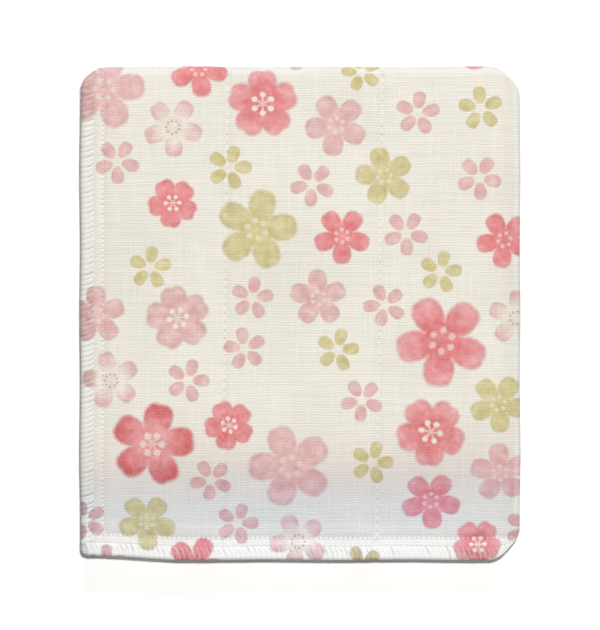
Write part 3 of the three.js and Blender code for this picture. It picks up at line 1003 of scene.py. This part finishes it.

# %% [markdown]
# ## Materials
#
# The cloth is bleached cotton gauze, a plain weave so open that the plies under it show between its threads;
# the shade in those gaps is painted into its colour.
# It is matt, with a faint fuzz at grazing angles. Its threads are uneven: weft threads lie about 0.93 mm
# apart here, and the ply below, a little coarser, beats against them. Both are drawn from the print's map,
# in millimetres, where a noise with a scale of 0.25 makes patches about 4 mm wide. The print has sunk into
# the threads, so it has soft edges and stays as matt as the cloth. The threads could be real shapes too, but
# each ply has about seven hundred of them, and they are too flat to show at the cloth's edge.
#
# The sewing threads are polyester. The serging has a woolly one, crimped so that it spreads softly over the
# edge, and the stitches have a spun one, thin and round. Both have a little more sheen than the cotton.


# %% Where a point lies in its blossom
def blossom_measures(tree):
    """A point's distance from its blossom's heart and its angle round it, with a little wobble."""
    local = add(tree, "UVMap", uv_map="blossom")
    places = add(tree, "UVMap", uv_map="print_mm")
    wobble = add(tree, "TexNoise", places, named={"Scale": 0.9, "Detail": 2.0}, out=1)
    wobble = add(tree, "VectorMath", wobble, (0.5, 0.5, 0.5), operation="SUBTRACT")
    local = add(tree, "VectorMath", wobble, (0.07, 0.07, 0.0), local, operation="MULTIPLY_ADD")
    radius = add(tree, "VectorMath", local, operation="LENGTH", out=1)
    local_x, local_y, _ = add(tree, "SeparateXYZ", local, out=XYZ)
    angle = add(tree, "Math", local_y, local_x, operation="ARCTAN2")
    return radius, angle


def beside_axis(tree, radius, angle, half_step):
    """How far a point lies out along the nearest of an even round of axes, and how far beside it."""
    from_axis = add(tree, "Math", angle, half_step, operation="PINGPONG")
    cosine = add(tree, "Math", from_axis, operation="COSINE")
    sine = add(tree, "Math", from_axis, operation="SINE")
    outward = add(tree, "Math", radius, cosine, operation="MULTIPLY")
    sideward = add(tree, "Math", radius, sine, operation="MULTIPLY")
    return outward, sideward


# %% Petals
PETALS = 5
PETAL_POWER = 2.4  # 2 would make an ellipse of a petal, and this is a little squarer


def draw_petals(tree, radius, angle):
    """Returns how much of the cloth the petals cover, and a measure that is 1 on their outline."""
    petal = add(tree, "Attribute", attribute_name="petal", out=1)
    petal_middle, petal_length, petal_width = add(tree, "SeparateXYZ", petal, out=XYZ)
    form = add(tree, "Attribute", attribute_name="form", out=1)
    taper, notch, core = add(tree, "SeparateXYZ", form, out=XYZ)
    outward, sideward = beside_axis(tree, radius, angle, math.pi / PETALS)
    near_axis = add(tree, "MapRange", sideward, 0.0, 0.22, 1.0, 0.0, **SMOOTH)
    notched = add(tree, "Math", near_axis, notch, outward, operation="MULTIPLY_ADD")
    from_middle = add(tree, "Math", notched, petal_middle, operation="SUBTRACT")
    lengthwise = add(tree, "Math", from_middle, petal_length, operation="DIVIDE")
    wider = add(tree, "Math", lengthwise, taper, 1.0, operation="MULTIPLY_ADD")
    half_width = add(tree, "Math", petal_width, wider, operation="MULTIPLY")
    widthwise = add(tree, "Math", sideward, half_width, operation="DIVIDE")
    powers = []
    for share in (lengthwise, widthwise):
        size = add(tree, "Math", share, operation="ABSOLUTE")
        powers.append(add(tree, "Math", size, PETAL_POWER, operation="POWER"))
    reach = add(tree, "Math", *powers, operation="ADD")
    in_petal = add(tree, "MapRange", reach, 1.42, 0.66, 0.0, 1.0, **SMOOTH)
    from_core = add(tree, "Math", radius, core, operation="SUBTRACT")
    in_core = add(tree, "MapRange", from_core, 0.03, -0.08, 0.0, 1.0, **SMOOTH)
    cover = add(tree, "Math", in_petal, in_core, operation="MAXIMUM")
    return cover, reach


# %% Stamens
def draw_stamens(tree, radius, angle):
    """Dots on stalks at even steps round the heart: returns 1 on them and 0 beside them."""
    stamens = add(tree, "Attribute", attribute_name="stamens", out=1)
    ring, dot_size, stalk_share = add(tree, "SeparateXYZ", stamens, out=XYZ)
    stamen_turn = add(tree, "Attribute", attribute_name="stamen_turn", out=2)
    stamen_step = add(tree, "Attribute", attribute_name="stamen_step", out=2)
    turned = add(tree, "Math", angle, stamen_turn, operation="SUBTRACT")
    outward, sideward = beside_axis(tree, radius, turned, stamen_step)
    from_ring = add(tree, "Math", outward, ring, operation="SUBTRACT")
    to_dot = add(tree, "CombineXYZ", from_ring, sideward, 0.0)
    to_dot = add(tree, "VectorMath", to_dot, operation="LENGTH", out=1)
    past_dot = add(tree, "Math", to_dot, dot_size, operation="SUBTRACT")
    in_dot = add(tree, "MapRange", past_dot, 0.025, -0.03, 0.0, 1.0, **SMOOTH)
    beside_stalk = add(tree, "MapRange", sideward, 0.045, 0.012, 0.0, 1.0, **SMOOTH)
    on_stalk = add(tree, "MapRange", from_ring, 0.0, -0.03, 0.0, 0.75, **SMOOTH)
    stalk = add(tree, "Math", beside_stalk, on_stalk, operation="MULTIPLY")
    stalk = add(tree, "Math", stalk, stalk_share, operation="MULTIPLY")
    stamen = add(tree, "Math", in_dot, stalk, operation="MAXIMUM")
    has_stamens = add(tree, "Math", ring, 0.1, operation="GREATER_THAN")
    return add(tree, "Math", stamen, has_stamens, operation="MULTIPLY")


# %% Ink of the print
def draw_blossoms(tree):
    """The print: returns its colour and how much of the cloth it covers."""
    radius, angle = blossom_measures(tree)
    cover, reach = draw_petals(tree, radius, angle)
    stamen = draw_stamens(tree, radius, angle)
    heart_ink, tip_ink, stamen_ink = (
        add(tree, "Attribute", attribute_name=name) for name in ("heart_ink", "tip_ink", "stamen_ink")
    )
    to_tip = add(tree, "MapRange", radius, 0.30, 0.92, 0.0, 1.0, **SMOOTH)
    ink = add(tree, "MixRGB", to_tip, heart_ink, tip_ink)
    # No two petals took quite the same depth of ink
    places = add(tree, "UVMap", uv_map="print_mm")
    depth = add(tree, "TexNoise", places, named={"Scale": 0.24, "Detail": 3.0, "Roughness": 0.6})
    depth = add(tree, "MapRange", depth, 0.3, 0.7, 0.70, 1.25)
    ink = add(tree, "Gamma", ink, depth)
    # Ink pools a little where a petal ends
    inner = add(tree, "MapRange", radius, 0.75, 0.5, 0.0, 1.0)
    pool = add(tree, "MapRange", reach, 0.30, 1.0, 1.0, 0.88, **SMOOTH)
    pool = add(tree, "Math", pool, inner, operation="MAXIMUM")
    pooled = add(tree, "MixRGB", 1.0, ink, pool, blend_type="MULTIPLY")
    dotted = add(tree, "MixRGB", stamen, pooled, stamen_ink)
    return dotted, cover


# %% Weave
WEFT_PITCH = 0.93  # mm
WARP_PITCH = 0.90
LOWER_WEFT_PITCH = 1.28
LOWER_SHARE = 0.45  # how much of the ply below shows between the threads


def draw_weave(tree):
    """Threads of the gauze on the print's map: returns how high they stand, from 0 in the gaps to about 1."""
    places = add(tree, "UVMap", uv_map="print_mm")
    sway = add(tree, "TexNoise", places, named={"Scale": 0.11, "Detail": 3.0, "Roughness": 0.6}, out=1)
    sway = add(tree, "VectorMath", sway, (0.5, 0.5, 0.5), operation="SUBTRACT")
    swayed = add(tree, "VectorMath", sway, (1.3, 1.3, 0.0), places, operation="MULTIPLY_ADD")
    across, along, _ = add(tree, "SeparateXYZ", swayed, out=XYZ)
    heights = []
    for place, pitch in ((along, WEFT_PITCH), (across, WARP_PITCH), (along, LOWER_WEFT_PITCH)):
        phase = add(tree, "Math", place, 2 * math.pi / pitch, operation="MULTIPLY")
        wave = add(tree, "Math", phase, operation="COSINE")
        heights.append(add(tree, "MapRange", wave, -1.0, 1.0, 0.0, 1.0))
    weft, warp, lower_weft = heights
    # Slubs: single threads that run thick or thin for a few centimetres
    slubs = [
        (weft, (0.045, 0.75, 1.0), 0.45, 1.1),
        (warp, (0.75, 0.045, 1.0), 0.2, 0.85),
    ]
    uneven = []
    for thread, stretch, thinnest, thickest in slubs:
        drawn_out = add(tree, "Mapping", swayed, named={"Scale": stretch})
        slub = add(tree, "TexNoise", drawn_out, named={"Scale": 1.0, "Detail": 2.0, "Roughness": 0.7})
        size = add(tree, "MapRange", slub, 0.35, 0.65, thinnest, thickest)
        uneven.append(add(tree, "Math", thread, size, operation="MULTIPLY"))
    woven = add(tree, "Math", *uneven, operation="MAXIMUM")
    lower = add(tree, "Math", lower_weft, LOWER_SHARE, operation="MULTIPLY")
    return add(tree, "Math", woven, lower, 0.3, operation="SMOOTH_MAX")


# %% Needle holes
HOLE_RADII = (0.48, 0.15)  # mm, where a hole's painted shade begins and where it is full


def draw_needle_holes(tree):
    """The needle leaves a small hole between two stitches, in painted shade: returns how deep it is, 0 to 1."""
    across, along, _ = add(tree, "SeparateXYZ", add(tree, "UVMap", uv_map="flat_mm"), out=XYZ)
    from_side = add(tree, "Math", across, ACROSS / 2, operation="PINGPONG")
    from_end = add(tree, "Math", along, ALONG / 2, operation="PINGPONG")
    set_back = -QUILTING_SLANT * HALF_LENGTH
    drift = add(tree, "Math", from_end, QUILTING_SLANT, set_back, operation="MULTIPLY_ADD")
    beside_drift = add(tree, "Math", from_side, drift, operation="SUBTRACT")
    # Along the front the machine comes from the far side
    front_phase = ACROSS - FIRST_HEM_STITCH
    seams = [
        (beside_drift, line, along, FIRST_QUILTING_STITCH, QUILTING_STITCH["pitch"])
        for line in QUILTING_LINES
    ]
    seams += [
        (from_side, HEM_STITCH_INSET, along, FIRST_HEM_STITCH, HEM_STITCH["pitch"]),
        (from_end, HEM_STITCH_INSET, across, front_phase, HEM_STITCH["pitch"]),
    ]
    deepest = None
    for beside, line, onward, first, pitch in seams:
        from_line = add(tree, "Math", beside, line, operation="SUBTRACT")
        onward = add(tree, "Math", onward, first + pitch / 2, operation="SUBTRACT")
        from_hole = add(tree, "Math", onward, pitch / 2, operation="PINGPONG")
        distance = add(tree, "CombineXYZ", from_line, from_hole, 0.0)
        distance = add(tree, "VectorMath", distance, operation="LENGTH", out=1)
        hole = add(tree, "MapRange", distance, *HOLE_RADII, 0.0, 1.0, **SMOOTH)
        deepest = hole if deepest is None else add(tree, "Math", deepest, hole, operation="MAXIMUM")
    return deepest


# %% Surface of cotton and thread
def fibre_surface(tree, colour, relief, bump, surface):
    """Ends a material of matt fibres: the cloth's painted light and shade lie over its colour, and its relief
    is a bump.
    """
    painted_shading = add(tree, "Attribute", attribute_name="painted_shading")
    with_painted_shading = add(tree, "MixRGB", 1.0, colour, painted_shading, blend_type="MULTIPLY")
    normal = add(tree, "Bump", named={**bump, "Height": relief})
    shader = add(tree, "BsdfPrincipled", named={**surface, "Base Color": with_painted_shading, "Normal": normal})
    add(tree, "OutputMaterial", shader)


# %% Printed gauze
def printed_gauze():
    """Bleached cotton gauze, screen printed: matt, open, slightly fuzzy."""
    material, tree = new_material("printed_cotton_gauze")
    print_colour, cover = draw_blossoms(tree)
    weave = draw_weave(tree)
    places = add(tree, "UVMap", uv_map="print_mm")
    patches = add(tree, "TexNoise", places, named={"Scale": 0.035, "Detail": 3.0})
    patches = add(tree, "MapRange", patches, 0.3, 0.7, 0.0, 1.0)
    ground = add(tree, "MixRGB", patches, linear("d9d5cb"), linear("dfdbd1"))
    thread_ink = add(tree, "MapRange", weave, 0.1, 0.7, 0.80, 1.0)
    mottle = add(tree, "TexNoise", places, named={"Scale": 0.35, "Detail": 5.0, "Roughness": 0.75})
    mottle = add(tree, "MapRange", mottle, 0.3, 0.7, 0.80, 1.0)
    on_print_side = add(tree, "Attribute", attribute_name="printed", out=2)
    for share in (thread_ink, mottle, on_print_side):
        cover = add(tree, "Math", cover, share, operation="MULTIPLY")
    colour = add(tree, "MixRGB", cover, ground, print_colour)
    # Painted shade in the gaps between the threads
    painted_gap_shade = add(tree, "MapRange", weave, 0.0, 0.8, 0.78, 1.0)
    shaded = add(tree, "MixRGB", 1.0, colour, painted_gap_shade, blend_type="MULTIPLY")
    # Painted shade in the needle holes, a little uneven from hole to hole
    scatter = add(tree, "TexNoise", places, named={"Scale": 0.9, "Detail": 1.0})
    painted_hole_shade = add(tree, "MapRange", scatter, 0.35, 0.65, 0.66, 0.95)
    hole = add(tree, "MapRange", draw_needle_holes(tree), 0.0, 1.0, 1.0, painted_hole_shade)
    shaded = add(tree, "MixRGB", 1.0, shaded, hole, blend_type="MULTIPLY")
    fibre_surface(
        tree, shaded, weave, {"Strength": 0.55, "Distance": 0.00012},
        {"Roughness": 0.93, "Sheen Weight": 0.15, "Sheen Roughness": 0.5, "Specular IOR Level": 0.2},
    )
    return material


sheet.data.materials.append(printed_gauze())
gauze = sheet.data.materials[0]
print(gauze.name + ":", len(gauze.node_tree.nodes), "nodes")


# %% Threads
def sewing_thread(name, colour, ink_share, filament_size, inked_from):
    """White thread that was printed over: it takes the ink deeper than the gauze, but only on its crown."""
    material, tree = new_material(name)
    print_colour, cover = draw_blossoms(tree)
    on_thread = add(tree, "Attribute", attribute_name="on_thread", out=1)
    drawn_out = add(tree, "Mapping", on_thread, named={"Rotation": (0, 0, 0.25), "Scale": filament_size})
    filaments = add(tree, "TexNoise", drawn_out, named={"Scale": 1.0, "Detail": 2.0, "Roughness": 0.6})
    uneven = add(tree, "MapRange", filaments, 0.35, 0.65, 0.6 * ink_share, ink_share)
    cover = add(tree, "Math", cover, uneven, operation="MULTIPLY")
    height = add(tree, "SeparateXYZ", on_thread, out=2)
    crown = add(tree, "MapRange", height, inked_from, inked_from + 0.12, 0.35, 1.0)
    cover = add(tree, "Math", cover, crown, operation="MULTIPLY")
    deeper = add(tree, "Gamma", print_colour, 1.55)
    tinted = add(tree, "MixRGB", cover, linear(colour), deeper)
    # Painted shade between the filaments
    painted_filament_shade = add(tree, "MapRange", filaments, 0.30, 0.55, 0.88, 1.0)
    tinted = add(tree, "MixRGB", 1.0, tinted, painted_filament_shade, blend_type="MULTIPLY")
    fibre_surface(
        tree, tinted, filaments, {"Strength": 0.4, "Distance": 0.0001},
        {"Roughness": 0.85, "Sheen Weight": 0.25, "Sheen Roughness": 0.4, "Specular IOR Level": 0.3},
    )
    return material


serging.data.materials.append(sewing_thread("woolly_polyester_thread", "e2dfd5", 0.95, (0.5, 6.0, 6.0), 0.10))
spun = sewing_thread("spun_polyester_thread", "e6e2d8", 0.65, (1.5, 5.0, 5.0), -0.4)
for piece in (needle_thread, hem_stitches, quilting):
    piece.data.materials.append(spun)
print(spun.name + ":", len(spun.node_tree.nodes), "nodes")

# %% [markdown]
# ## Hand over
#
# Every piece rides on the imported body. The cloth stands for the plain solid, which stays for its collisions.

# %% Pieces and sizes
threads = [serging, needle_thread, hem_stitches, quilting]
for piece in (sheet, *threads):
    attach(piece, "root")
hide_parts("cloth")

dressed_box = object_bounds()
boxes = {
    "solids": [list(corner) for corner in solid_box],
    "dressed": [list(corner) for corner in dressed_box],
}
for name, corners in boxes.items():
    print(name, [[round(value * 1000, 2) for value in corner] for corner in corners])
